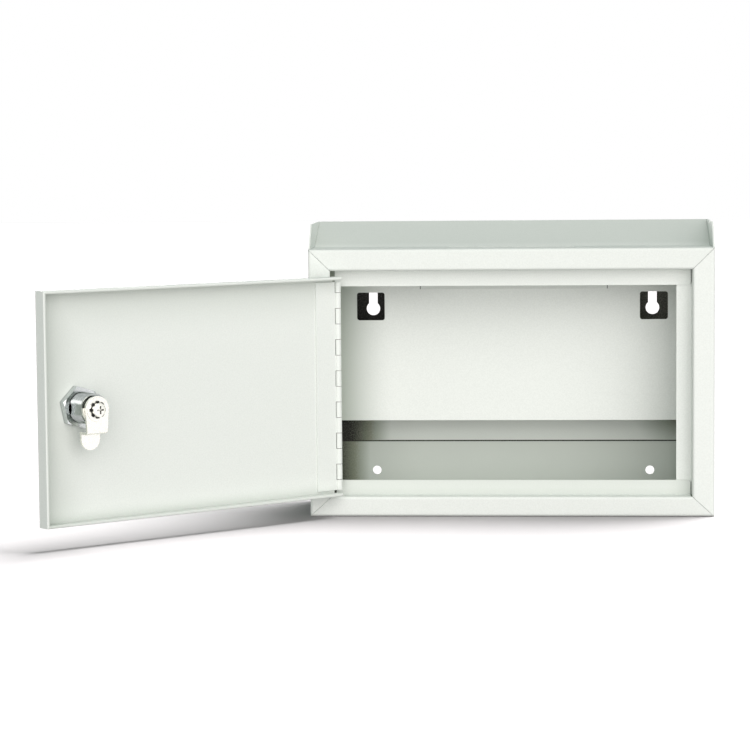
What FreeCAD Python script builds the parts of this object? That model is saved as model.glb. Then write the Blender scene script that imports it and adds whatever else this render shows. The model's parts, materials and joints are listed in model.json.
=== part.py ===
import FreeCAD, Part
import math
import os

# Steel wall box with a deposit slot in its ledge, a hinged front door and a cam lock.
# Millimetres. X runs to the right, Y to the back, Z up. The origin is the middle of the base.
# Depths are measured back from the front face. The door is built closed and then swung open
# about its hinge pin, which is the rest position.

V = FreeCAD.Vector

# Case
WIDTH = 247.65
DEPTH = 76.2
HEIGHT = 179.4
SHEET = 0.9
BEND = 0.7
SEAM = 0.3
HALF_WIDTH = WIDTH / 2
INNER_HALF = HALF_WIDTH - SHEET
BACK_INSIDE = DEPTH - SHEET
EDGE_ZONE = SHEET + BEND

# Top ledge, deposit slot, sloped header and raised side wings
LEDGE_HEIGHT = 164.4
LEDGE_DEPTH = 35.6
HEADER_PEAK = HEIGHT + 0.7
TOP_REAR_FLANGE = 14.0
SLOT_LENGTH = 79.5
SLOT_WIDTH = 8.0
SLOT_REAR = 34.8
SLOT_CORNER = 1.2
WING_START = 3.5
WING_SLOPE = 15.0

# Front opening with its recessed lips
OPENING_HALF = 110.5
OPENING_BOTTOM = 12.1
OPENING_TOP = 151.2
LIP_FRONT = 10.2
TOP_LIP = 9.9
BOTTOM_LIP = 9.1
SIDE_LIP = 9.4
SIDE_LIP_FRONT = LIP_FRONT + SHEET
LIP_LEFT_END = -108.3
LIP_RIGHT_END = OPENING_HALF - BEND - 0.1
LIP_CORNER = 2.0

# Back, floor upstand and baffle
BACK_FLANGE_FRONT = 63.0
BACK_FLANGE_TOP = 160.0
BACK_TOP = HEIGHT - 0.5
UPSTAND_TOP = 38.0
BAFFLE_FRONT = 51.0
BAFFLE_FLANGE = 9.0
BAFFLE_BOTTOM = 54.1
BAFFLE_TOP = 168.8
TAB_MIDDLE = 1.1
TAB_HALF = 58.7
TAB_SLIT = 0.4
TAB_FOOT = 6.0
TAB_BEND_HEIGHT = 137.0
TAB_TOP_FRONT = 36.8
TAB_TOP = 161.9

# Wall screw openings
KEYHOLE_SPACING = 177.8
KEYHOLE_HEIGHT = 123.5
KEYHOLE_R = 4.3
KEYHOLE_SLOT_R = 2.75
KEYHOLE_TRAVEL = 10.5
WINDOW_HEIGHT = 126.3
WINDOW_SIZE = 17.5
WINDOW_CORNER = 1.6
LOW_HOLE_SPACING = 174.6
LOW_HOLE_HEIGHT = 19.5
LOW_HOLE_R = 2.8

# Hinge
AXIS_X = -105.88
AXIS_DEPTH = 1.6
HINGE_BOTTOM = 16.3
HINGE_TOP = 144.5
KNUCKLE = 9.6
KNUCKLE_COUNT = 14
KNUCKLE_R = 1.9
KNUCKLE_GAP = 0.3
PIN_R = 1.0
RUNNING_CLEARANCE = 0.05
LEAF_THICKNESS = 0.8
LEAF_CLEAR = 2.3
DOOR_LEAF_WIDTH = 16.8
FRAME_LEAF_WIDTH = 15.8
OPEN_ANGLE = 137.65

# Door
DOOR_LEFT = AXIS_X + 3.4
DOOR_RIGHT = 109.0
DOOR_BOTTOM = 13.3
DOOR_TOP = 147.85
DOOR_FLANGE = 9.8
HEM_DEPTH = 5.0
HEM_ROUND = 0.6

# Lock body and plug
LOCK_X = 81.92
LOCK_HEIGHT = 80.3
HEAD_R = 11.0
HEAD_HEIGHT = 2.6
HEAD_ROUND = 1.4
BARREL_R = 8.9
BARREL_END = 18.0
THREAD_PITCH = 1.25
THREAD_DEPTH = 0.5
THREAD_START = 1.0
THREAD_COUNT = 13
FLAT_HALF = 7.95
FLAT_CLEARANCE = 0.15
PLUG_R = 6.35
PLUG_HEAD_R = 7.5
PLUG_HEAD_SEAT = -1.0
PLUG_FACE = -2.3
POST_SIDE = 7.0
POST_END = 21.0
KEYWAY_HALF = 1.1
KEYWAY_TALL = 4.0
KEYWAY_END = 15.2
JOIN = 0.5

# Nut on the barrel
NUT_FLATS = 22.0
NUT_THICKNESS = 4.5
NUT_CORNER = 17.0
NUT_CHAMFER = 1.1

# Quarter-turn stop, with angles from +X towards +Z
STOP_FRONT = 18.3
STOP_BACK = 19.7
STOP_HUB_R = 6.4
STOP_R = 8.6
STOP_START = 172.0
STOP_SWEEP = 196.0
LUG_START = 106.0
LUG_SWEEP = 58.0
LUG_END = 19.4
LUG_INNER_R = 6.7

# Cam, its washer and its bolt
CAM_THICKNESS = 1.5
CAM_FACE = STOP_BACK + CAM_THICKNESS
CAM_HEAD_R = 7.7
CAM_NECK_HALF = 6.65
CAM_JOG_DROP = 14.2
CAM_REACH = 23.6
CAM_BOSS_R = 6.8
CAM_BOSS = 0.25
TONGUE_FACE = 13.85
TONGUE_R = 6.2
WASHER_THICKNESS = 0.8
WASHER_TIP_R = 5.0
WASHER_ROOT_R = 4.1
WASHER_TEETH = 8
TOOTH_TIP_SHARE = 0.2
TOOTH_ROOT_SHARE = 0.28
BOLT_HEAD_R = 4.0
BOLT_HEAD = 2.4
BOLT_R = 2.0
BOLT_END = 16.2
RECESS_HALF = 0.5
RECESS_REACH = 2.3
RECESS_DEPTH = 1.3

# Tumblers and springs inside the plug
TUMBLER_COUNT = 5
TUMBLER_FIRST = 2.8
TUMBLER_PITCH = 2.6
TUMBLER_THICKNESS = 0.8
TUMBLER_HALF = 2.9
TUMBLER_R = 6.2
TUMBLER_LIFT = 0.6
TUMBLER_FIT = 0.06
KEY_PASSAGE_HALF = 1.4
KEY_PASSAGE_TALL = 3.2
SHOULDER_REACH = 5.0
SHOULDER_BOTTOM = 1.7
SHOULDER_TOP = 2.5
SPRING_X = 4.25
SPRING_R = 0.5
SPRING_WIRE_R = 0.14
SPRING_TURNS = 4
SPRING_BOTTOM = -1.5
GROOVE_R = 7.1
GROOVE_HALF = 3.2

LEFT = 1
RIGHT = -1
BEYOND = 1.0


def y_of(depth):
    """Y of a point that lies this far behind the front face."""
    return depth - DEPTH / 2


def block(x0, x1, d0, d1, z0, z1):
    """Box between two widths, two depths and two heights."""
    return Part.makeBox(x1 - x0, d1 - d0, z1 - z0, V(x0, y_of(d0), z0))


def upright(x, depth, radius, z0, z1):
    """Vertical cylinder."""
    return Part.makeCylinder(radius, z1 - z0, V(x, y_of(depth), z0), V(0, 0, 1))


def level(x, z, radius, d0, d1):
    """Cylinder that runs from front to back."""
    return Part.makeCylinder(radius, d1 - d0, V(x, y_of(d0), z), V(0, 1, 0))


def side_view(x):
    """Places (depth, height) points in the plane at this X."""
    return lambda point: V(x, y_of(point[0]), point[1])


def top_view(z):
    """Places (x, depth) points in the plane at this height."""
    return lambda point: V(point[0], y_of(point[1]), z)


def front_view(depth):
    """Places (x, height) points in the plane at this depth."""
    return lambda point: V(point[0], y_of(depth), point[1])


def prism(points, place, vector):
    """Flat polygon pushed along a vector."""
    corners = [place(point) for point in points]
    return Part.Face(Part.makePolygon(corners + corners[:1])).extrude(vector)


def bend_points(before, corner, after, side, thickness, radius):
    """Start, middle and end of a bend, first on the path and then on the sheet's other face."""
    into = V(corner[0] - before[0], corner[1] - before[1], 0).normalize()
    out = V(after[0] - corner[0], after[1] - corner[1], 0).normalize()
    turn = LEFT if into.cross(out).z > 0 else RIGHT
    path_radius = radius + thickness if turn == side else radius
    other_radius = radius if turn == side else radius + thickness
    reach = path_radius * math.tan(into.getAngle(out) / 2)
    point = V(corner[0], corner[1], 0)
    centre = point - into * reach + V(-into.y, into.x, 0) * (turn * path_radius)
    start = V(into.y, -into.x, 0) * turn
    middle = (point - centre).normalize()
    end = V(out.y, -out.x, 0) * turn
    return [[centre + way * size for way in (start, middle, end)] for size in (path_radius, other_radius)]


def across(start, end, side, thickness):
    """Step from one face of a sheet to the other, square to a straight run."""
    along = V(end[0] - start[0], end[1] - start[1], 0).normalize()
    return V(-along.y, along.x, 0) * (side * thickness)


def straight(start, end, place):
    """Straight edge between two flat points."""
    return Part.LineSegment(place((start.x, start.y)), place((end.x, end.y))).toShape()


def face_edges(start, bends, end, place):
    """Edges along one face of a bent sheet."""
    edges = []
    here = start
    for bend in bends:
        edges.append(straight(here, bend[0], place))
        arc = [place((point.x, point.y)) for point in bend]
        edges.append(Part.Arc(*arc).toShape())
        here = bend[2]
    edges.append(straight(here, end, place))
    return edges


def bent_sheet(points, side, place, vector, thickness=SHEET):
    """Folded sheet: its section follows a path and lies to one side of it, with round bends."""
    path_bends = []
    other_bends = []
    for before, corner, after in zip(points, points[1:], points[2:]):
        on_path, on_other = bend_points(before, corner, after, side, thickness, BEND)
        path_bends.append(on_path)
        other_bends.append(on_other)
    first = V(points[0][0], points[0][1], 0)
    last = V(points[-1][0], points[-1][1], 0)
    other_first = first + across(points[0], points[1], side, thickness)
    other_last = last + across(points[-2], points[-1], side, thickness)
    edges = face_edges(first, path_bends, last, place)
    edges.append(straight(last, other_last, place))
    edges += face_edges(other_first, other_bends, other_last, place)
    edges.append(straight(other_first, first, place))
    outline = Part.Wire(Part.__sortEdges__(edges))
    return Part.Face(outline).extrude(vector)


def round_edges(shape, radius, wanted):
    """Rounds the straight edges whose middle point and direction pass the test."""
    chosen = []
    for edge in shape.Edges:
        if edge.Curve.TypeId != "Part::GeomLine":
            continue
        middle = edge.valueAt((edge.FirstParameter + edge.LastParameter) / 2)
        if wanted(middle, edge.tangentAt(edge.FirstParameter)):
            chosen.append(edge)
    return shape.makeFillet(radius, chosen)


def mitre_wedges(corner, opening, keep_inside):
    """Wedges that trim the front border along its two corner seams at one height."""
    gap = SEAM / 2 if keep_inside else -SEAM / 2
    spare = HALF_WIDTH - OPENING_HALF
    rise = corner - opening
    low = (OPENING_HALF - spare - gap, opening - rise)
    high = (HALF_WIDTH + spare - gap, corner + rise)
    far_side = (high[0], low[1]) if keep_inside else (low[0], high[1])
    wedges = []
    for sign in (1, -1):
        points = [(sign * x, z) for x, z in (low, high, far_side)]
        wedges.append(prism(points, front_view(-BEYOND), V(0, BEYOND + EDGE_ZONE, 0)))
    return wedges


def lip_ends(z0, z1):
    """Blocks that trim a recessed top or bottom lip to its length."""
    back = SIDE_LIP_FRONT + SHEET
    left = block(-WIDTH, LIP_LEFT_END, EDGE_ZONE, back, z0, z1)
    right = block(LIP_RIGHT_END, WIDTH, EDGE_ZONE, back, z0, z1)
    return [left, right]


def beside(limit, d0, d1, z0, z1):
    """Two blocks that clear everything further out than this half width."""
    left = block(-WIDTH, -limit, d0, d1, z0, z1)
    right = block(limit, WIDTH, d0, d1, z0, z1)
    return [left, right]


def lip_corner(height):
    """Test for a lip's free corner at its right end."""
    def wanted(middle, way):
        close = abs(middle.x - LIP_RIGHT_END) < 0.01 and abs(middle.z - height) < 0.01
        return close and abs(way.y) > 0.99
    return wanted


def deposit_slot():
    """Cutter for the slot at the back of the ledge."""
    half = SLOT_LENGTH / 2
    below = LEDGE_HEIGHT - SHEET - BEYOND
    slot = block(-half, half, SLOT_REAR - SLOT_WIDTH, SLOT_REAR, below, LEDGE_HEIGHT + BEYOND)
    return round_edges(slot, SLOT_CORNER, lambda middle, way: abs(way.z) > 0.99)


def top_panel():
    """Lip, front border, ledge and sloped header, folded from one sheet."""
    section = [
        (LIP_FRONT, OPENING_TOP - TOP_LIP),
        (LIP_FRONT, OPENING_TOP),
        (0, OPENING_TOP),
        (0, LEDGE_HEIGHT),
        (LEDGE_DEPTH, LEDGE_HEIGHT),
        (BACK_INSIDE, HEADER_PEAK),
        (BACK_INSIDE, HEADER_PEAK - TOP_REAR_FLANGE),
    ]
    panel = bent_sheet(section, RIGHT, side_view(-HALF_WIDTH), V(WIDTH, 0, 0))
    cutters = mitre_wedges(LEDGE_HEIGHT, OPENING_TOP, True)
    cutters += beside(INNER_HALF, EDGE_ZONE, DEPTH, 0, HEADER_PEAK)
    cutters += lip_ends(OPENING_TOP - TOP_LIP - BEYOND, OPENING_TOP + EDGE_ZONE)
    cutters.append(deposit_slot())
    return round_edges(panel.cut(cutters), LIP_CORNER, lip_corner(OPENING_TOP - TOP_LIP))


def low_holes():
    """Cutters for the two round screw holes near the floor."""
    half = LOW_HOLE_SPACING / 2
    return [level(x, LOW_HOLE_HEIGHT, LOW_HOLE_R, BAFFLE_FRONT, DEPTH + BEYOND) for x in (-half, half)]


def bottom_panel():
    """Lip, front border, floor and rear upstand, folded from one sheet."""
    section = [
        (LIP_FRONT, OPENING_BOTTOM + BOTTOM_LIP),
        (LIP_FRONT, OPENING_BOTTOM),
        (0, OPENING_BOTTOM),
        (0, 0),
        (BACK_INSIDE, 0),
        (BACK_INSIDE, UPSTAND_TOP),
    ]
    panel = bent_sheet(section, LEFT, side_view(-HALF_WIDTH), V(WIDTH, 0, 0))
    cutters = mitre_wedges(0, OPENING_BOTTOM, True)
    cutters += beside(INNER_HALF, EDGE_ZONE, DEPTH, -BEYOND, UPSTAND_TOP + BEYOND)
    cutters += lip_ends(OPENING_BOTTOM - EDGE_ZONE, OPENING_BOTTOM + BOTTOM_LIP + BEYOND)
    cutters += beside(INNER_HALF - EDGE_ZONE, BACK_FLANGE_FRONT, DEPTH, SHEET, UPSTAND_TOP + BEYOND)
    panel = panel.cut(cutters + low_holes())
    return round_edges(panel, LIP_CORNER, lip_corner(OPENING_BOTTOM + BOTTOM_LIP))


def wing_corner():
    """Cutter that slopes the raised side walls back from the ledge."""
    points = [
        (-BEYOND, LEDGE_HEIGHT),
        (WING_START, LEDGE_HEIGHT),
        (WING_START + WING_SLOPE, HEIGHT),
        (WING_START + WING_SLOPE, HEIGHT + BEYOND),
        (-BEYOND, HEIGHT + BEYOND),
    ]
    return prism(points, side_view(-WIDTH), V(2 * WIDTH, 0, 0))


def side_panel(sign):
    """Side wall with its front border; the right one also carries a recessed lip."""
    section = [(HALF_WIDTH, DEPTH), (HALF_WIDTH, 0), (OPENING_HALF, 0)]
    if sign > 0:
        section += [(OPENING_HALF, SIDE_LIP_FRONT), (OPENING_HALF - SIDE_LIP, SIDE_LIP_FRONT)]
    section = [(sign * x, depth) for x, depth in section]
    panel = bent_sheet(section, RIGHT * sign, top_view(0), V(0, 0, HEIGHT))
    cutters = mitre_wedges(LEDGE_HEIGHT, OPENING_TOP, False)
    cutters += mitre_wedges(0, OPENING_BOTTOM, False)
    cutters.append(wing_corner())
    if sign > 0:
        inner = OPENING_HALF - SIDE_LIP - BEYOND
        outer = INNER_HALF - EDGE_ZONE
        back = SIDE_LIP_FRONT + SHEET + BEYOND
        cutters.append(block(inner, outer, EDGE_ZONE, back, OPENING_TOP - SEAM, HEIGHT + BEYOND))
        cutters.append(block(inner, outer, EDGE_ZONE, back, -BEYOND, OPENING_BOTTOM + SEAM))
    return panel.cut(cutters)


def keyhole(x):
    """Cutter for a keyhole: a round entry with a narrow slot above it."""
    d0 = BACK_INSIDE - BEYOND
    d1 = DEPTH + BEYOND
    top = KEYHOLE_HEIGHT + KEYHOLE_TRAVEL
    entry = level(x, KEYHOLE_HEIGHT, KEYHOLE_R, d0, d1)
    neck = block(x - KEYHOLE_SLOT_R, x + KEYHOLE_SLOT_R, d0, d1, KEYHOLE_HEIGHT, top)
    return entry.fuse([neck, level(x, top, KEYHOLE_SLOT_R, d0, d1)])


def back_panel():
    """Flat back with short flanges inside the side walls, two keyholes and two screw holes."""
    section = [
        (-INNER_HALF, BACK_FLANGE_FRONT),
        (-INNER_HALF, DEPTH),
        (INNER_HALF, DEPTH),
        (INNER_HALF, BACK_FLANGE_FRONT),
    ]
    panel = bent_sheet(section, RIGHT, top_view(0), V(0, 0, BACK_TOP))
    cutters = [
        block(-WIDTH, WIDTH, 0, BACK_INSIDE, BACK_FLANGE_TOP, HEIGHT),
        block(-WIDTH, WIDTH, 0, BACK_INSIDE, -BEYOND, SHEET),
    ]
    cutters += [keyhole(sign * KEYHOLE_SPACING / 2) for sign in (1, -1)]
    return panel.cut(cutters + low_holes())


def window(x):
    """Cutter for the rounded square through which a keyhole can be reached."""
    half = WINDOW_SIZE / 2
    d0 = BAFFLE_FRONT - BEYOND
    d1 = BAFFLE_FRONT + SHEET + BEYOND
    hole = block(x - half, x + half, d0, d1, WINDOW_HEIGHT - half, WINDOW_HEIGHT + half)
    return round_edges(hole, WINDOW_CORNER, lambda middle, way: abs(way.y) > 0.99)


def baffle_plate():
    """Inner plate in front of the wall screws, with a tab bent forward to the slot."""
    rear = BAFFLE_FRONT + BAFFLE_FLANGE
    section = [
        (-INNER_HALF, rear),
        (-INNER_HALF, BAFFLE_FRONT),
        (INNER_HALF, BAFFLE_FRONT),
        (INNER_HALF, rear),
    ]
    plate = bent_sheet(section, LEFT, top_view(BAFFLE_BOTTOM), V(0, 0, BAFFLE_TOP - BAFFLE_BOTTOM))
    left_slit = TAB_MIDDLE - TAB_HALF
    right_slit = TAB_MIDDLE + TAB_HALF
    gap_left = left_slit - TAB_SLIT / 2
    gap_right = right_slit + TAB_SLIT / 2
    gap = block(gap_left, gap_right, BAFFLE_FRONT - BEYOND, rear, TAB_BEND_HEIGHT, HEIGHT)
    tab_run = [
        (BAFFLE_FRONT, TAB_BEND_HEIGHT - TAB_FOOT),
        (BAFFLE_FRONT, TAB_BEND_HEIGHT),
        (TAB_TOP_FRONT, TAB_TOP),
    ]
    tab_left = left_slit + TAB_SLIT / 2
    tab = bent_sheet(tab_run, RIGHT, side_view(tab_left), V(2 * TAB_HALF - TAB_SLIT, 0, 0))
    windows = [window(sign * KEYHOLE_SPACING / 2) for sign in (1, -1)]
    return plate.cut([gap] + windows).fuse(tab).removeSplitter()


def door_front_edge(middle, way):
    """Test for the three front edges where the door's flanges turn back."""
    return abs(middle.y - y_of(0)) < 0.01 and middle.x > DOOR_LEFT + 0.01


def door_hem_edge(middle, way):
    """Test for the long edges at the tips of the door's flanges."""
    return abs(middle.y - y_of(DOOR_FLANGE)) < 0.01 and middle.x > DOOR_LEFT + 0.01


def door_lock_hole():
    """Cutter for the lock's hole, with two flats that keep the lock from turning."""
    size = BARREL_R + FLAT_CLEARANCE
    flat = FLAT_HALF + FLAT_CLEARANCE
    round_hole = level(LOCK_X, LOCK_HEIGHT, size, -BEYOND, SHEET + BEYOND)
    return round_hole.common(block(LOCK_X - flat, LOCK_X + flat, -BEYOND, SHEET + BEYOND, 0, HEIGHT))


def door_panel():
    """Shallow door pan with hemmed flanges along its top, bottom and free edges."""
    outer = block(DOOR_LEFT, DOOR_RIGHT, 0, DOOR_FLANGE, DOOR_BOTTOM, DOOR_TOP)
    outer = round_edges(outer, EDGE_ZONE, door_front_edge)
    start = DOOR_LEFT - BEYOND
    hem_start = DOOR_FLANGE - HEM_DEPTH
    hem = 2 * SHEET
    inner = block(start, DOOR_RIGHT - SHEET, SHEET, hem_start, DOOR_BOTTOM + SHEET, DOOR_TOP - SHEET)
    mouth = block(start, DOOR_RIGHT - hem, SHEET, DOOR_FLANGE + BEYOND, DOOR_BOTTOM + hem, DOOR_TOP - hem)
    pan = outer.cut([inner, mouth, door_lock_hole()])
    return round_edges(pan, HEM_ROUND, door_hem_edge)


def knuckle_heights():
    """Bottom and top of each hinge knuckle, from the top down; the two end ones are short."""
    full = KNUCKLE_COUNT - 2
    end = (HINGE_TOP - HINGE_BOTTOM - full * KNUCKLE) / 2
    heights = []
    top = HINGE_TOP
    for index in range(KNUCKLE_COUNT):
        length = end if index in (0, KNUCKLE_COUNT - 1) else KNUCKLE
        heights.append((top - length, top))
        top -= length
    return heights


def hinge_leaf(sign, width, first, bore):
    """Hinge leaf with every second knuckle, on the side of the pin that the sign gives."""
    back = SHEET + LEAF_THICKNESS
    near, far = sorted((AXIS_X + sign * LEAF_CLEAR, AXIS_X + sign * width))
    root, tip = sorted((AXIS_X, AXIS_X + sign * (LEAF_CLEAR + BEYOND)))
    pieces = []
    for low, high in knuckle_heights()[first::2]:
        low += KNUCKLE_GAP / 2
        high -= KNUCKLE_GAP / 2
        pieces.append(upright(AXIS_X, AXIS_DEPTH, KNUCKLE_R, low, high))
        pieces.append(block(root, tip, SHEET, back, low, high))
    leaf = block(near, far, SHEET, back, HINGE_BOTTOM, HINGE_TOP).fuse(pieces).removeSplitter()
    return leaf.cut(upright(AXIS_X, AXIS_DEPTH, bore, HINGE_BOTTOM, HINGE_TOP))


def hinge_pin():
    """Plain pin through every knuckle."""
    return upright(AXIS_X, AXIS_DEPTH, PIN_R, HINGE_BOTTOM, HINGE_TOP)


def turned(profile):
    """Solid of revolution about the lock's axis, from (radius, depth) points."""
    corners = [V(LOCK_X + radius, y_of(depth), LOCK_HEIGHT) for radius, depth in profile]
    face = Part.Face(Part.makePolygon(corners + corners[:1]))
    return face.revolve(V(LOCK_X, 0, LOCK_HEIGHT), V(0, 1, 0), 360)


def lock_block(x0, x1, d0, d1, z0, z1):
    """Box placed from the lock's axis."""
    return block(LOCK_X + x0, LOCK_X + x1, d0, d1, LOCK_HEIGHT + z0, LOCK_HEIGHT + z1)


def lock_cylinder(radius, d0, d1):
    """Cylinder on the lock's axis."""
    return level(LOCK_X, LOCK_HEIGHT, radius, d0, d1)


def post_block(d0, d1):
    """Square bar on the lock's axis that carries the stop plate and the cam."""
    side = POST_SIDE / 2
    return lock_block(-side, side, d0, d1, -side, side)


def sector(inner, outer, start, sweep, d0, d1):
    """Part of a ring about the lock's axis."""
    ring = Part.makeCylinder(outer, d1 - d0, V(0, 0, 0), V(0, 0, 1), sweep)
    ring = ring.cut(Part.makeCylinder(inner, d1 - d0))
    ring.rotate(V(0, 0, 0), V(0, 0, 1), start)
    ring.rotate(V(0, 0, 0), V(1, 0, 0), 90)
    ring.translate(V(LOCK_X, y_of(d1), LOCK_HEIGHT))
    return ring


def barrel_profile():
    """Outline of the lock body: a round head with a soft rim, then a threaded barrel."""
    profile = [
        (0, -HEAD_HEIGHT),
        (HEAD_R - HEAD_ROUND, -HEAD_HEIGHT),
        (HEAD_R - 0.4 * HEAD_ROUND, -HEAD_HEIGHT + 0.3 * HEAD_ROUND),
        (HEAD_R, -HEAD_HEIGHT + HEAD_ROUND),
        (HEAD_R, 0),
        (BARREL_R, 0),
    ]
    for turn in range(THREAD_COUNT):
        crest = THREAD_START + turn * THREAD_PITCH
        profile.append((BARREL_R, crest))
        profile.append((BARREL_R - THREAD_DEPTH, crest + THREAD_PITCH / 2))
    profile.append((BARREL_R, THREAD_START + THREAD_COUNT * THREAD_PITCH))
    return profile + [(BARREL_R, BARREL_END), (0, BARREL_END)]


def tumbler_grooves():
    """Cutter for the grooves that the tumblers rise into at each end of the quarter turn."""
    start = TUMBLER_FIRST - TUMBLER_PITCH / 2
    end = start + TUMBLER_COUNT * TUMBLER_PITCH
    tall = lock_block(-GROOVE_HALF, GROOVE_HALF, start, end, -GROOVE_R, GROOVE_R)
    wide = lock_block(-GROOVE_R, GROOVE_R, start, end, -GROOVE_HALF, GROOVE_HALF)
    return tall.fuse(wide)


def lock_housing():
    """Lock body with two flats along the barrel, a stop lug and grooves for the tumblers."""
    body = turned(barrel_profile())
    for sign in (1, -1):
        near, far = sorted((sign * FLAT_HALF, sign * 2 * HEAD_R))
        body = body.cut(lock_block(near, far, 0, BARREL_END + BEYOND, -HEAD_R, HEAD_R))
    lug = sector(LUG_INNER_R, FLAT_HALF, LUG_START, LUG_SWEEP, BARREL_END - JOIN, LUG_END)
    mouth = -HEAD_HEIGHT - BEYOND
    bore = lock_cylinder(PLUG_R + RUNNING_CLEARANCE, mouth, LUG_END + BEYOND)
    seat = lock_cylinder(PLUG_HEAD_R + RUNNING_CLEARANCE, mouth, PLUG_HEAD_SEAT)
    return body.fuse(lug).removeSplitter().cut([bore, seat, tumbler_grooves()])


def tumbler_depths():
    """Depth of each tumbler's middle plane."""
    return [TUMBLER_FIRST + index * TUMBLER_PITCH for index in range(TUMBLER_COUNT)]


def tumbler_slot(depth):
    """Cutter for one tumbler, its shoulder and its spring."""
    half = TUMBLER_THICKNESS / 2 + TUMBLER_FIT
    wide = TUMBLER_HALF + TUMBLER_FIT
    reach = SHOULDER_REACH + TUMBLER_FIT
    top = SHOULDER_TOP + TUMBLER_LIFT + 2 * TUMBLER_FIT
    slot = lock_block(-wide, wide, depth - half, depth + half, -PLUG_R, PLUG_R)
    shoulder = lock_block(0, reach, depth - half, depth + half, SPRING_BOTTOM, top)
    room = SPRING_R + SPRING_WIRE_R + TUMBLER_FIT
    foot = LOCK_HEIGHT + SPRING_BOTTOM
    pocket = upright(LOCK_X + SPRING_X, depth, room, foot, LOCK_HEIGHT + SHOULDER_BOTTOM)
    return slot.fuse([shoulder, pocket])


def lock_plug():
    """Turning core with its keyway, tumbler slots, square post and bolt hole."""
    core = lock_cylinder(PLUG_R, PLUG_HEAD_SEAT - JOIN, BARREL_END)
    head = lock_cylinder(PLUG_HEAD_R, PLUG_FACE, PLUG_HEAD_SEAT)
    plug = core.fuse([head, post_block(BARREL_END - JOIN, POST_END)]).removeSplitter()
    mouth = PLUG_FACE - BEYOND
    keyway = lock_block(-KEYWAY_HALF, KEYWAY_HALF, mouth, KEYWAY_END, -KEYWAY_TALL, KEYWAY_TALL)
    bolt_hole = lock_cylinder(BOLT_R, BOLT_END - RUNNING_CLEARANCE, POST_END + BEYOND)
    return plug.cut([keyway, bolt_hole] + [tumbler_slot(depth) for depth in tumbler_depths()])


def tumbler(depth):
    """One flat tumbler with a window for the key and a shoulder for its spring."""
    d0 = depth - TUMBLER_THICKNESS / 2
    d1 = depth + TUMBLER_THICKNESS / 2
    plate = lock_block(-TUMBLER_HALF, TUMBLER_HALF, d0, d1, -PLUG_R, PLUG_R)
    plate = plate.common(lock_cylinder(TUMBLER_R, d0, d1))
    shoulder = lock_block(0, SHOULDER_REACH, d0, d1, SHOULDER_BOTTOM, SHOULDER_TOP)
    wide = KEY_PASSAGE_HALF
    passage = lock_block(-wide, wide, d0, d1, -KEY_PASSAGE_TALL, KEY_PASSAGE_TALL)
    return plate.fuse(shoulder).removeSplitter().cut(passage)


def tumbler_spring(depth):
    """One small coil spring under a tumbler's shoulder."""
    height = SHOULDER_BOTTOM - SPRING_BOTTOM - 2 * SPRING_WIRE_R - TUMBLER_FIT
    coil = Part.makeHelix(height / SPRING_TURNS, height, SPRING_R)
    wire = Part.Circle(V(SPRING_R, 0, 0), V(0, 1, 0), SPRING_WIRE_R).toShape()
    spring = Part.Wire(coil.Edges).makePipeShell([Part.Wire(wire)], True, True)
    spring.translate(V(LOCK_X + SPRING_X, y_of(depth), LOCK_HEIGHT + SPRING_BOTTOM + SPRING_WIRE_R))
    return spring


def lock_nut():
    """Hexagon nut with its outer corners chamfered."""
    radius = NUT_FLATS / math.sqrt(3)
    angles = [math.radians(60 * corner + NUT_CORNER) for corner in range(6)]
    points = [(LOCK_X + radius * math.cos(a), LOCK_HEIGHT + radius * math.sin(a)) for a in angles]
    hexagon = prism(points, front_view(SHEET), V(0, NUT_THICKNESS, 0))
    end = SHEET + NUT_THICKNESS
    rim = radius - NUT_CHAMFER
    outer = radius + NUT_CHAMFER
    slope = math.tan(math.radians(30))
    cone = turned([(0, 0), (outer, 0), (outer, end - slope * (outer - rim)), (rim, end), (0, end)])
    return hexagon.common(cone).cut(lock_cylinder(BARREL_R + RUNNING_CLEARANCE, 0, end))


def lock_stop_plate():
    """Plate behind the barrel whose wide tab meets the stop lug at each end of a quarter turn."""
    hub = lock_cylinder(STOP_HUB_R, STOP_FRONT, STOP_BACK)
    tab = sector(STOP_HUB_R - JOIN, STOP_R, STOP_START, STOP_SWEEP, STOP_FRONT, STOP_BACK)
    return hub.fuse(tab).removeSplitter().cut(post_block(STOP_FRONT, STOP_BACK))


def cam_outline():
    """Cutter with the cam's front outline: round head, tapered neck and round-ended tongue."""
    d0 = TONGUE_FACE - CAM_THICKNESS - BEYOND
    d1 = CAM_FACE + BEYOND
    neck = [
        (CAM_HEAD_R, 0),
        (CAM_NECK_HALF, -CAM_JOG_DROP),
        (-CAM_NECK_HALF, -CAM_JOG_DROP),
        (-CAM_HEAD_R, 0),
    ]
    neck = [(LOCK_X + x, LOCK_HEIGHT + z) for x, z in neck]
    tip = TONGUE_R - CAM_REACH
    pieces = [
        prism(neck, front_view(d0), V(0, d1 - d0, 0)),
        lock_block(-TONGUE_R, TONGUE_R, d0, d1, tip, BEYOND - CAM_JOG_DROP),
        level(LOCK_X, LOCK_HEIGHT + tip, TONGUE_R, d0, d1),
    ]
    return lock_cylinder(CAM_HEAD_R, d0, d1).fuse(pieces)


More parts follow.
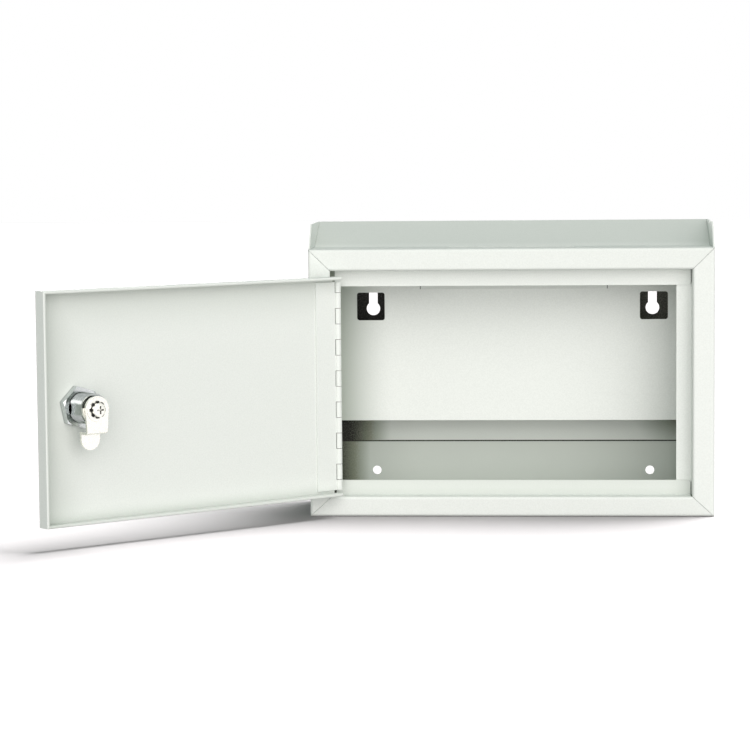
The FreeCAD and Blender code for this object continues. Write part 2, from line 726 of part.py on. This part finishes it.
def lock_cam():
    """Flat cam that steps towards the door to its tongue, and hangs down when unlocked."""
    run = [
        (CAM_FACE, LOCK_HEIGHT + CAM_HEAD_R),
        (CAM_FACE, LOCK_HEIGHT - CAM_JOG_DROP),
        (TONGUE_FACE, LOCK_HEIGHT - CAM_JOG_DROP),
        (TONGUE_FACE, LOCK_HEIGHT - CAM_REACH),
    ]
    left = LOCK_X - CAM_HEAD_R
    strip = bent_sheet(run, RIGHT, side_view(left), V(2 * CAM_HEAD_R, 0, 0), CAM_THICKNESS)
    boss = lock_cylinder(CAM_BOSS_R, CAM_FACE - JOIN, CAM_FACE + CAM_BOSS)
    cam = strip.common(cam_outline()).fuse(boss).removeSplitter()
    return cam.cut(post_block(STOP_BACK, CAM_FACE + BEYOND))


def star_washer():
    """Lock washer with square outer teeth."""
    front = CAM_FACE + CAM_BOSS
    tooth_shape = [
        (WASHER_ROOT_R, -TOOTH_ROOT_SHARE),
        (WASHER_TIP_R, -TOOTH_TIP_SHARE),
        (WASHER_TIP_R, TOOTH_TIP_SHARE),
        (WASHER_ROOT_R, TOOTH_ROOT_SHARE),
    ]
    points = []
    for tooth in range(WASHER_TEETH):
        for radius, share in tooth_shape:
            angle = 2 * math.pi * (tooth + share) / WASHER_TEETH
            points.append((LOCK_X + radius * math.cos(angle), LOCK_HEIGHT + radius * math.sin(angle)))
    star = prism(points, front_view(front), V(0, WASHER_THICKNESS, 0))
    return star.cut(lock_cylinder(BOLT_R, front, front + WASHER_THICKNESS))


def cam_bolt():
    """Cross-slotted bolt that holds the cam on the plug's post."""
    seat = CAM_FACE + CAM_BOSS + WASHER_THICKNESS
    top = seat + BOLT_HEAD
    head = turned([
        (0, seat),
        (BOLT_HEAD_R, seat),
        (BOLT_HEAD_R, seat + 0.55 * BOLT_HEAD),
        (0.92 * BOLT_HEAD_R, seat + 0.78 * BOLT_HEAD),
        (0.74 * BOLT_HEAD_R, seat + 0.93 * BOLT_HEAD),
        (0.5 * BOLT_HEAD_R, top),
        (0, top),
    ])
    shank = lock_cylinder(BOLT_R - RUNNING_CLEARANCE, BOLT_END, seat + JOIN)
    bolt = head.fuse(shank).removeSplitter()
    floor = top - RECESS_DEPTH
    reach = RECESS_REACH
    half = RECESS_HALF
    level_slot = lock_block(-reach, reach, floor, top + BEYOND, -half, half)
    upright_slot = lock_block(-half, half, floor, top + BEYOND, -reach, reach)
    return bolt.cut(level_slot.fuse(upright_slot))


def swung_open(shape):
    """Copy of a door piece, turned about the hinge pin to its open rest position."""
    moved = shape.copy()
    moved.rotate(V(AXIS_X, y_of(AXIS_DEPTH), 0), V(0, 0, 1), -OPEN_ANGLE)
    return moved


def case_pieces():
    """Pieces that stay still."""
    return {
        "back_panel": back_panel(),
        "left_side_panel": side_panel(-1),
        "right_side_panel": side_panel(1),
        "top_panel": top_panel(),
        "bottom_panel": bottom_panel(),
        "baffle_plate": baffle_plate(),
        "hinge_frame_leaf": hinge_leaf(-1, FRAME_LEAF_WIDTH, 0, PIN_R),
        "hinge_pin": hinge_pin(),
    }


def door_pieces():
    """Pieces that swing with the door, in the closed position."""
    depths = tumbler_depths()
    return {
        "door_panel": door_panel(),
        "hinge_door_leaf": hinge_leaf(1, DOOR_LEAF_WIDTH, 1, PIN_R + RUNNING_CLEARANCE),
        "lock_housing": lock_housing(),
        "lock_nut": lock_nut(),
        "lock_plug": lock_plug(),
        "wafer_tumblers": Part.makeCompound([tumbler(depth) for depth in depths]),
        "tumbler_springs": Part.makeCompound([tumbler_spring(depth) for depth in depths]),
        "lock_stop_plate": lock_stop_plate(),
        "lock_cam": lock_cam(),
        "star_washer": star_washer(),
        "cam_bolt": cam_bolt(),
    }


def main():
    os.makedirs("parts", exist_ok=True)
    pieces = case_pieces()
    for name, shape in door_pieces().items():
        pieces[name] = swung_open(shape)
    for name, shape in pieces.items():
        shape.exportStep("parts/" + name + ".step")
        print(name, len(shape.Solids), shape.isValid(), round(shape.Volume, 1))


main()
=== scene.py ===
import json
import math

import bpy
from mathutils import Matrix, Vector


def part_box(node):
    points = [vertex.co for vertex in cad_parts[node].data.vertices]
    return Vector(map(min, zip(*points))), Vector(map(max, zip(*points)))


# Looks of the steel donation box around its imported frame. Metres; X right, Y back, Z up.

MM = 0.001
X = (1, 0, 0)
Y = (0, 1, 0)
Z = (0, 0, 1)
WHITE = (1, 1, 1, 1)
EVEN = (1, 1, 1)

# Camera, in pixels of a square picture and radians
IMAGE_SIZE = 750
FOCAL_PIXELS = 2663.36
SENSOR_MM = 36.0
CAMERA_AT = (0.02437, -1.66155, 0.22958)
CAMERA_YAW = -0.0662
CAMERA_PITCH = 0.0872
CAMERA_ROLL = -0.0084
CAMERA_CLIP_START = 0.05

# Lamps: the way each shines, its share of light on a surface that faces it, its spread and colour.
# The floor lamp lights only the floor. The low lamp stands for the light that a white floor throws
# back, so the floor casts no shadow and lets it through.
FRONT_WAY = (-0.26, 1.0, -0.25)
FRONT_SHARE = 1.04
FRONT_SPREAD = math.radians(90)
FRONT_COLOUR = (1.0, 0.945, 0.945)
BACK_WAY = (0.35, -1.0, 0.05)
BACK_SHARE = 0.7
BACK_SPREAD = math.radians(40)
LOW_WAY = (0.0, 0.0, 1.0)
LOW_SHARE = 0.6
LOW_SPREAD = math.radians(170)
LOW_COLOUR = (0.97, 1.0, 0.985)
FLOOR_WAY = (-0.40, -0.27, -1.0)
FLOOR_SHARE = 3.2
FLOOR_SPREAD = math.radians(40)
FLOOR_LAMP_COLOUR = (1.0, 1.0, 1.0)
AMBIENT = (0.175, 0.235, 0.215, 1)

# Floor: the colour that it throws back and the one that is seen
FLOOR_HALF = 6.0
FLOOR_DROP = 0.2 * MM
FLOOR_COLOUR = (0.07, 0.07, 0.07, 1)
FLOOR_SEEN = (0.345, 0.332, 0.336, 1)
FLOOR_ROUGHNESS = 0.9

# Paint: its colours, its gloss, and the size and depth of its fine grain and orange peel
PAINT_LIGHT = (0.81, 0.845, 0.805, 1)
PAINT_DARK = (0.755, 0.79, 0.75, 1)
PAINT_ROUGHNESS = (0.42, 0.55)
PAINT_GRAIN = 0.7 * MM
PAINT_GRAIN_DETAIL = 3
PAINT_PEEL = 2.6 * MM
PAINT_PEEL_DETAIL = 1
PAINT_BUMP = 0.03 * MM

# Painted shade: tint of the paint from none through light and deep shade to near black
SHADE_TINT_LIGHT = (0.62, 0.65, 0.61, 1)
SHADE_TINT_DEEP = (0.3, 0.315, 0.25, 1)
SHADE_TINT_BLACK = (0.012, 0.011, 0.008, 1)
SHADE_TINT_STOPS = ((0.0, WHITE), (0.3, SHADE_TINT_LIGHT), (0.6, SHADE_TINT_DEEP), (1.0, SHADE_TINT_BLACK))
# Specular of the paint that carries painted shade, and the noise range that breaks the painted shade
# up
SHADED_COAT_SPECULAR = 0.25
SHADE_SPECKLE = (0.9, 1.1)

# Painted shade in the gaps and inner corners of the paint and of the lock, from closed to open
CREVICE = (0.12, 0.13, 0.12, 1)
CREVICE_REACH = 2.5 * MM
CREVICE_STOPS = ((0.05, CREVICE), (0.62, WHITE))
# Painted shade in the lock's gaps
LOCK_GAP_SHADE = (0.1, 0.1, 0.1, 1)
LOCK_GAP_SHADE_REACH = 2.0 * MM
LOCK_GAP_SHADE_STOPS = ((0.1, LOCK_GAP_SHADE), (0.8, WHITE))
GAP_SAMPLES = 8
# Heights at which the painted gap shade fades out towards the base, so none lies along the bottom
# edge
UNSHADED_BASE = (3 * MM, 1.5 * MM)

# Where shade is painted into the coat: the places along an axis at which each zone starts and is
# complete
DEEP = (30 * MM, 36 * MM)
BACK_BEHIND_BAFFLE = (52 * MM, 58 * MM)
BACK_RIGHT_HALF = (0, 60 * MM)
BACK_LEFT = (-70 * MM, -108 * MM)
BACK_RIGHT = (60 * MM, 132 * MM)
BACK_UPPER = (20 * MM, 60 * MM)
# Painted shadow line along the seam above the floor's upstand
BACK_SEAM = (39.2 * MM, 38.4 * MM)
BACK_INNER_FACE = (37.9 * MM, 37.5 * MM)
UPSTAND_LEFT = (-80 * MM, -118 * MM)
UPSTAND_RIGHT = (70 * MM, 165 * MM)
FLOOR_UPPER_FACE = (0.2 * MM, 0.8 * MM)
LIP_RECESSED = (-30 * MM, -28.2 * MM)
LIP_RAISED = (11.5 * MM, 13 * MM)
HEADER = (164.8 * MM, 167 * MM)
BAFFLE_LEFT = (-75 * MM, -160 * MM)

# The same on the door, from its free edge, top, bottom and outer face
DOOR_FREE_EDGE = (-40 * MM, 6 * MM)
DOOR_TOP = (-33 * MM, -5 * MM)
DOOR_BOTTOM = (11 * MM, -1 * MM)
DOOR_INNER_FACE = (-0.3 * MM, -0.7 * MM)
DOOR_RIM = (-0.5 * MM, -1.2 * MM)

# How strong the painted shade is there, from 0 for none to 1 for near black
BACK_LEAST_SHADE = 0.12
BACK_RIGHT_EASE = 0.12
UPSTAND_LEAST_SHADE = 0.22
LIP_SHADE = 0.1
HEADER_SHADE = 0.06
DOOR_EDGE_SHADE = 0.17
DOOR_TOP_SHADE = 0.09
DOOR_BOTTOM_SHADE = 0.08

# Metals: darkest and lightest colour, roughness from smooth to rough, size and stretch of the marks
PLATE_BUMP = 0.004 * MM
PLATE_DETAIL = 4
PLATINGS = {
    "zinc_plate": {
        "low": (0.85, 0.85, 0.79, 1),
        "high": (0.93, 0.93, 0.86, 1),
        "roughness": (0.22, 0.32),
        "grain": 1.2 * MM,
    },
    # Darker copy of the zinc plating for the lock's nut: painted shade
    "zinc_nut_shaded": {
        "low": (0.5, 0.53, 0.53, 1),
        "high": (0.66, 0.69, 0.69, 1),
        "roughness": (0.14, 0.26),
        "grain": 1.2 * MM,
    },
    "lock_chrome": {
        "low": (0.34, 0.37, 0.36, 1),
        "high": (0.48, 0.51, 0.5, 1),
        "roughness": (0.1, 0.2),
        "grain": 2.0 * MM,
    },
    "steel_pin": {
        "low": (0.5, 0.5, 0.5, 1),
        "high": (0.64, 0.64, 0.63, 1),
        "roughness": (0.25, 0.4),
        "grain": 0.5 * MM,
        "stretch": (1, 1, 0.1),
    },
    "tumbler_brass": {
        "low": (0.62, 0.44, 0.16, 1),
        "high": (0.76, 0.57, 0.26, 1),
        "roughness": (0.25, 0.4),
        "grain": 0.6 * MM,
    },
    "black_steel": {
        "low": (0.012, 0.012, 0.013, 1),
        "high": (0.03, 0.03, 0.03, 1),
        "roughness": (0.35, 0.5),
        "grain": 0.5 * MM,
    },
}

# Range that most of a noise texture lies in
NOISE_LOW = 0.3
NOISE_HIGH = 0.7

# Colour sockets of a mix node
MIX_FIRST = 6
MIX_SECOND = 7
MIX_RESULT = 2


def shader(name):
    """New material and its node tree, with the principled shader ready to be wired."""
    material = bpy.data.materials.new(name)
    material.use_nodes = True
    return material, material.node_tree, material.node_tree.nodes["Principled BSDF"]


def noise(tree, size, detail, stretch=EVEN):
    """Noise whose grains are about this large, fixed to the piece."""
    place = tree.nodes.new("ShaderNodeTexCoord")
    scale = tree.nodes.new("ShaderNodeMapping")
    scale.inputs["Scale"].default_value = stretch
    texture = tree.nodes.new("ShaderNodeTexNoise")
    texture.inputs["Scale"].default_value = 1 / size
    texture.inputs["Detail"].default_value = detail
    tree.links.new(place.outputs["Object"], scale.inputs["Vector"])
    tree.links.new(scale.outputs["Vector"], texture.inputs["Vector"])
    return texture.outputs["Fac"]


def stepped_colour(tree, factor, stops):
    """Colour that follows the factor through the given stops, two or more."""
    node = tree.nodes.new("ShaderNodeValToRGB")
    steps = node.color_ramp.elements
    while len(steps) < len(stops):
        steps.new(0.5)
    for step, (position, value) in zip(steps, stops):
        step.position = position
        step.color = value
    tree.links.new(factor, node.inputs["Fac"])
    return node.outputs["Color"]


def speckle(tree, marks, low, high):
    """Colour that runs from low to high over the middle of a noise."""
    return stepped_colour(tree, marks, ((NOISE_LOW, low), (NOISE_HIGH, high)))


def spread(tree, marks, low, high):
    """Number that runs from low to high over the middle of a noise."""
    node = tree.nodes.new("ShaderNodeMapRange")
    node.inputs["From Min"].default_value = NOISE_LOW
    node.inputs["From Max"].default_value = NOISE_HIGH
    node.inputs["To Min"].default_value = low
    node.inputs["To Max"].default_value = high
    tree.links.new(marks, node.inputs["Value"])
    return node.outputs["Result"]


def tint(tree, colour, factor, stops):
    """Colour multiplied by a second one that follows the factor through the given stops."""
    second = stepped_colour(tree, factor, stops)
    mix = tree.nodes.new("ShaderNodeMix")
    mix.data_type = "RGBA"
    mix.blend_type = "MULTIPLY"
    mix.inputs["Factor"].default_value = 1.0
    tree.links.new(colour, mix.inputs[MIX_FIRST])
    tree.links.new(second, mix.inputs[MIX_SECOND])
    return mix.outputs[MIX_RESULT]


def bump(tree, height, depth, under=None):
    """Surface relief of this depth in metres, on top of another relief if one is given."""
    node = tree.nodes.new("ShaderNodeBump")
    node.inputs["Distance"].default_value = depth
    tree.links.new(height, node.inputs["Height"])
    if under is not None:
        tree.links.new(under, node.inputs["Normal"])
    return node.outputs["Normal"]


def zone(tree, way, span, origin=0.0):
    """Factor from zero at the span's start to one at its end, along a direction of the part."""
    start, end = span
    place = tree.nodes.new("ShaderNodeTexCoord")
    along = tree.nodes.new("ShaderNodeVectorMath")
    along.operation = "DOT_PRODUCT"
    along.inputs[1].default_value = way
    node = tree.nodes.new("ShaderNodeMapRange")
    node.interpolation_type = "SMOOTHSTEP"
    node.inputs["From Min"].default_value = origin + start
    node.inputs["From Max"].default_value = origin + end
    tree.links.new(place.outputs["Object"], along.inputs[0])
    tree.links.new(along.outputs["Value"], node.inputs["Value"])
    return node.outputs["Result"]


def combine(tree, operation, first, others):
    """One operation on a factor and each of the others in turn, which may be plain numbers."""
    for other in others:
        node = tree.nodes.new("ShaderNodeMath")
        node.operation = operation
        tree.links.new(first, node.inputs[0])
        if isinstance(other, float):
            node.inputs[1].default_value = other
        else:
            tree.links.new(other, node.inputs[1])
        first = node.outputs["Value"]
    return first


def product(tree, first, *others):
    """The factors multiplied."""
    return combine(tree, "MULTIPLY", first, others)


def highest(tree, first, *others):
    """The largest of the factors at each point."""
    return combine(tree, "MAXIMUM", first, others)


def openness(tree, reach):
    """Factor of one on open faces and at the base, near zero in gaps and inner corners."""
    node = tree.nodes.new("ShaderNodeAmbientOcclusion")
    node.samples = GAP_SAMPLES
    node.inputs["Distance"].default_value = reach
    return highest(tree, node.outputs["AO"], zone(tree, Z, UNSHADED_BASE))


def painted_back_shade(tree):
    """Painted shade inside the back panel: behind the baffle and in the deep corners, and a painted
    shadow line at the floor's seam.
    """
    right_half = product(tree, zone(tree, X, BACK_RIGHT_HALF), BACK_RIGHT_EASE)
    behind = combine(tree, "SUBTRACT", zone(tree, Z, BACK_BEHIND_BAFFLE), (right_half,))
    right = product(tree, zone(tree, X, BACK_RIGHT), zone(tree, Z, BACK_UPPER))
    corners = highest(tree, zone(tree, X, BACK_LEFT), right)
    dark = highest(tree, behind, zone(tree, Z, BACK_SEAM), corners, BACK_LEAST_SHADE)
    return product(tree, dark, zone(tree, Y, DEEP), zone(tree, Y, BACK_INNER_FACE))


def painted_floor_shade(tree):
    """Painted shade on the floor's rear upstand, and a little on the recessed lip in front."""
    dark = highest(tree, zone(tree, X, UPSTAND_LEFT), zone(tree, X, UPSTAND_RIGHT), UPSTAND_LEAST_SHADE)
    upstand = product(tree, dark, zone(tree, Y, DEEP), zone(tree, Z, FLOOR_UPPER_FACE))
    lip = product(tree, zone(tree, Y, LIP_RECESSED), zone(tree, Z, LIP_RAISED), LIP_SHADE)
    return highest(tree, upstand, lip)


def painted_top_shade(tree):
    """A little painted shade on the sloped header."""
    return product(tree, zone(tree, Z, HEADER), HEADER_SHADE)


def painted_baffle_shade(tree):
    """Painted shade at the baffle's left end."""
    return zone(tree, X, BAFFLE_LEFT)


def furthest(name, way):
    """How far a node reaches along a direction at rest."""
    return max(way.dot(point.co) for point in frame["nodes"][name].data.vertices)


def painted_door_shade(tree):
    """Painted shade inside the door, beside its flanges."""
    joints = {joint["name"]: joint for joint in frame["record"]["behaviour"]["joints"]}
    out = Vector(joints["lock_turn"]["axis"])
    along = Vector(Z).cross(out)
    low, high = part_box("door_panel")
    bottom = low[2]
    top = high[2]
    edge = furthest("door_panel", along)
    face = furthest("door_panel", out)
    painted_shade = highest(
        tree,
        product(tree, zone(tree, along, DOOR_FREE_EDGE, edge), DOOR_EDGE_SHADE),
        product(tree, zone(tree, Z, DOOR_TOP, top), DOOR_TOP_SHADE),
        product(tree, zone(tree, Z, DOOR_BOTTOM, bottom), DOOR_BOTTOM_SHADE),
    )
    inside = product(
        tree,
        zone(tree, out, DOOR_INNER_FACE, face),
        zone(tree, along, DOOR_RIM, edge),
        zone(tree, Z, DOOR_RIM, top),
    )
    return product(tree, painted_shade, inside)


def powder_coat(name, shade_mask=None):
    """Pale satin powder coat with a fine grain and a soft orange peel, with painted shade in the
    given zones.
    """
    material, tree, paint = shader(name)
    grain = noise(tree, PAINT_GRAIN, PAINT_GRAIN_DETAIL)
    peel = noise(tree, PAINT_PEEL, PAINT_PEEL_DETAIL)
    colour = speckle(tree, grain, PAINT_DARK, PAINT_LIGHT)
    # Painted shade in gaps and inner corners
    colour = tint(tree, colour, openness(tree, CREVICE_REACH), CREVICE_STOPS)
    # Painted shade in the given zones, broken up by the grain, with a lower specular
    if shade_mask:
        paint.inputs["Specular IOR Level"].default_value = SHADED_COAT_SPECULAR
        shade_factor = product(tree, shade_mask(tree), spread(tree, grain, *SHADE_SPECKLE))
        colour = tint(tree, colour, shade_factor, SHADE_TINT_STOPS)
    tree.links.new(colour, paint.inputs["Base Color"])
    tree.links.new(spread(tree, peel, *PAINT_ROUGHNESS), paint.inputs["Roughness"])
    relief = bump(tree, grain, PAINT_BUMP, bump(tree, peel, PAINT_BUMP))
    tree.links.new(relief, paint.inputs["Normal"])
    return material


def plated(name, low, high, roughness, grain, stretch=EVEN):
    """Bare or plated metal with fine marks in its colour, gloss and surface."""
    material, tree, metal = shader(name)
    metal.inputs["Metallic"].default_value = 1.0
    marks = noise(tree, grain, PLATE_DETAIL, stretch)
    colour = speckle(tree, marks, low, high)
    # Painted shade in the gaps and inner corners of the metal
    colour = tint(tree, colour, openness(tree, LOCK_GAP_SHADE_REACH), LOCK_GAP_SHADE_STOPS)
    tree.links.new(colour, metal.inputs["Base Color"])
    tree.links.new(spread(tree, marks, *roughness), metal.inputs["Roughness"])
    tree.links.new(bump(tree, marks, PLATE_BUMP), metal.inputs["Normal"])
    return material


def make_materials():
    """One material for each of the record's slots, and one for the lock's nut."""
    materials = {"powder_coat": powder_coat("powder_coat")}
    for name, finish in PLATINGS.items():
        materials[name] = plated(name, **finish)
    return materials


def dress_nodes(materials):
    """Gives every frame node the material of its slot, then the panels and the nut their own."""
    for entry in frame["record"]["subparts"]:
        mesh = frame["nodes"][entry["node"]].data
        mesh.materials.clear()
        mesh.materials.append(materials[entry["material_slot"]])
    painted_shade = {
        "back_panel": painted_back_shade,
        "bottom_panel": painted_floor_shade,
        "top_panel": painted_top_shade,
        "baffle_plate": painted_baffle_shade,
        "door_panel": painted_door_shade,
    }
    for name, shade_mask in painted_shade.items():
        # The panels get copies of the powder coat with shade painted into their zones
        frame["nodes"][name].data.materials[0] = powder_coat(name + "_coat", shade_mask)
    # The nut gets the darker copy of the zinc plating, as painted shade
    frame["nodes"]["lock_nut"].data.materials[0] = materials["zinc_nut_shaded"]


def seen_colour(tree, hidden, seen):
    """One colour to be seen directly, in metal or through glass, and another for all other light."""
    rays = tree.nodes.new("ShaderNodeLightPath").outputs
    direct = highest(
        tree, rays["Is Camera Ray"], rays["Is Glossy Ray"], rays["Is Transmission Ray"]
    )
    mix = tree.nodes.new("ShaderNodeMix")
    mix.data_type = "RGBA"
    tree.links.new(direct, mix.inputs["Factor"])
    mix.inputs[MIX_FIRST].default_value = hidden
    mix.inputs[MIX_SECOND].default_value = seen
    return mix.outputs[MIX_RESULT]


def make_world():
    """White to look at, and a plain even light on everything else."""
    world = bpy.data.worlds.new("studio")
    world.use_nodes = True
    bpy.context.scene.world = world
    tree = world.node_tree
    sky = tree.nodes["Background"]
    tree.links.new(seen_colour(tree, AMBIENT, WHITE), sky.inputs["Color"])


def make_lamp(name, way, share, angle, colour, only=None):
    """Broad soft lamp that shines along one direction, on everything or on one object."""
    lamp = bpy.data.lights.new(name, "SUN")
    lamp.energy = share * math.pi
    lamp.angle = angle
    lamp.color = colour
    holder = bpy.data.objects.new(name, lamp)
    holder.rotation_mode = "QUATERNION"
    holder.rotation_quaternion = Vector(way).to_track_quat("-Z", "Y")
    bpy.context.scene.collection.objects.link(holder)
    if only:
        lit = bpy.data.collections.new(name + "_lit")
        lit.objects.link(only)
        holder.light_linking.receiver_collection = lit


def make_floor():
    """Wide pale floor that the box stands on."""
    size = FLOOR_HALF
    corners = [(-size, -size), (size, -size), (size, size), (-size, size)]
    mesh = bpy.data.meshes.new("floor")
    mesh.from_pydata([(x, y, -FLOOR_DROP) for x, y in corners], [], [(0, 1, 2, 3)])
    floor = bpy.data.objects.new("floor", mesh)
    bpy.context.scene.collection.objects.link(floor)
    material, tree, surface = shader("floor")
    tree.links.new(seen_colour(tree, FLOOR_COLOUR, FLOOR_SEEN), surface.inputs["Base Color"])
    surface.inputs["Roughness"].default_value = FLOOR_ROUGHNESS
    surface.inputs["Specular IOR Level"].default_value = 0.0
    mesh.materials.append(material)
    floor.visible_shadow = False
    return floor


def make_camera():
    """Camera at the photograph's viewing angle."""
    ahead = Vector((math.sin(CAMERA_YAW), math.cos(CAMERA_YAW), 0))
    across = Vector((math.cos(CAMERA_YAW), -math.sin(CAMERA_YAW), 0))
    up = Vector(Z)
    forward = ahead * math.cos(CAMERA_PITCH) - up * math.sin(CAMERA_PITCH)
    level_up = up * math.cos(CAMERA_PITCH) + ahead * math.sin(CAMERA_PITCH)
    right = across * math.cos(CAMERA_ROLL) + level_up * math.sin(CAMERA_ROLL)
    top = level_up * math.cos(CAMERA_ROLL) - across * math.sin(CAMERA_ROLL)
    data = bpy.data.cameras.new("camera")
    data.sensor_width = SENSOR_MM
    data.lens = FOCAL_PIXELS / IMAGE_SIZE * SENSOR_MM
    data.clip_start = CAMERA_CLIP_START
    camera = bpy.data.objects.new("camera", data)
    turn = Matrix((right, top, -forward)).transposed().to_4x4()
    camera.matrix_world = Matrix.Translation(CAMERA_AT) @ turn
    bpy.context.scene.collection.objects.link(camera)
    bpy.context.scene.camera = camera


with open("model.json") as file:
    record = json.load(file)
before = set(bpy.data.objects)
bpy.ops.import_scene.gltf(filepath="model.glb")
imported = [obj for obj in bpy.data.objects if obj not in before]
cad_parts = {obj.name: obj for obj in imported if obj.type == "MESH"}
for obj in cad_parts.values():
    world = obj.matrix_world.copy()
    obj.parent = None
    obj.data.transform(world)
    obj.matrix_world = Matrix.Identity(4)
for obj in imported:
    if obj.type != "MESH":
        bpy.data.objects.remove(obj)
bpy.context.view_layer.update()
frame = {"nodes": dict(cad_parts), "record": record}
dress_nodes(make_materials())
make_world()
make_lamp("front_lamp", FRONT_WAY, FRONT_SHARE, FRONT_SPREAD, FRONT_COLOUR)
floor = make_floor()
make_lamp("floor_lamp", FLOOR_WAY, FLOOR_SHARE, FLOOR_SPREAD, FLOOR_LAMP_COLOUR, only=floor)
make_lamp("back_lamp", BACK_WAY, BACK_SHARE, BACK_SPREAD, FRONT_COLOUR)
make_lamp("low_lamp", LOW_WAY, LOW_SHARE, LOW_SPREAD, LOW_COLOUR)
make_camera()
bpy.context.scene.view_settings.view_transform = "Standard"
